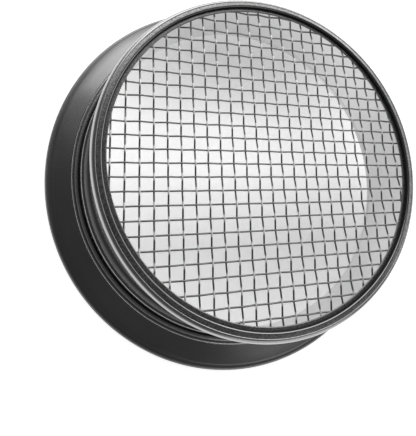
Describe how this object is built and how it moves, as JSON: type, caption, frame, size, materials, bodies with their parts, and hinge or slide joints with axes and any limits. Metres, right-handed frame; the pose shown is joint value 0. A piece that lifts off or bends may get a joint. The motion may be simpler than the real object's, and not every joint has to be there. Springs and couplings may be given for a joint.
{
  "type": "soil sieve",
  "caption": "Round soil sieve: pressed steel pan with a straight neck, a flared mouth with a wired edge, and a removable square-mesh screen.",
  "frame": {"origin": "centre of the plane that the mouth's rolled edge stands on", "axes": "+Z along the pan's axis, from the flared mouth towards the screen; X runs along the weft wires and Y along the warp wires"},
  "size_m": [0.2702, 0.2702, 0.068],
  "materials": {
    "coated_sheet": "gloss, dark gunmetal plating",
    "edge_wire": "satin",
    "screen_rim": "satin",
    "screen_wire": "drawn wire, satin"
  },
  "bodies": {
    "pan": {"seat_ring": "coated_sheet", "neck_band": "coated_sheet", "flare_collar": "coated_sheet", "flared_skirt": "coated_sheet", "hem_wire": "edge_wire"},
    "screen": {"screen_channel": "screen_rim", "warp_wire_01": "screen_wire", "warp_wire_02": "screen_wire", "warp_wire_03": "screen_wire", "warp_wire_04": "screen_wire", "warp_wire_05": "screen_wire", "warp_wire_06": "screen_wire", "warp_wire_07": "screen_wire", "warp_wire_08": "screen_wire", "warp_wire_09": "screen_wire", "warp_wire_10": "screen_wire", "warp_wire_11": "screen_wire", "warp_wire_12": "screen_wire", "warp_wire_13": "screen_wire", "warp_wire_14": "screen_wire", "warp_wire_15": "screen_wire", "warp_wire_16": "screen_wire", "warp_wire_17": "screen_wire", "warp_wire_18": "screen_wire", "warp_wire_19": "screen_wire", "warp_wire_20": "screen_wire", "warp_wire_21": "screen_wire", "warp_wire_22": "screen_wire", "warp_wire_23": "screen_wire", "warp_wire_24": "screen_wire", "warp_wire_25": "screen_wire", "weft_wire_01": "screen_wire", "weft_wire_02": "screen_wire", "weft_wire_03": "screen_wire", "weft_wire_04": "screen_wire", "weft_wire_05": "screen_wire", "weft_wire_06": "screen_wire", "weft_wire_07": "screen_wire", "weft_wire_08": "screen_wire", "weft_wire_09": "screen_wire", "weft_wire_10": "screen_wire", "weft_wire_11": "screen_wire", "weft_wire_12": "screen_wire", "weft_wire_13": "screen_wire", "weft_wire_14": "screen_wire", "weft_wire_15": "screen_wire", "weft_wire_16": "screen_wire", "weft_wire_17": "screen_wire", "weft_wire_18": "screen_wire", "weft_wire_19": "screen_wire", "weft_wire_20": "screen_wire", "weft_wire_21": "screen_wire", "weft_wire_22": "screen_wire", "weft_wire_23": "screen_wire", "weft_wire_24": "screen_wire", "weft_wire_25": "screen_wire"}
  },
  "joints": [
    {"name": "screen_release", "type": "slide", "parent": "pan", "child": "screen", "axis": [0, 0, -1], "range_m": [0, 0.058]}
  ]
}
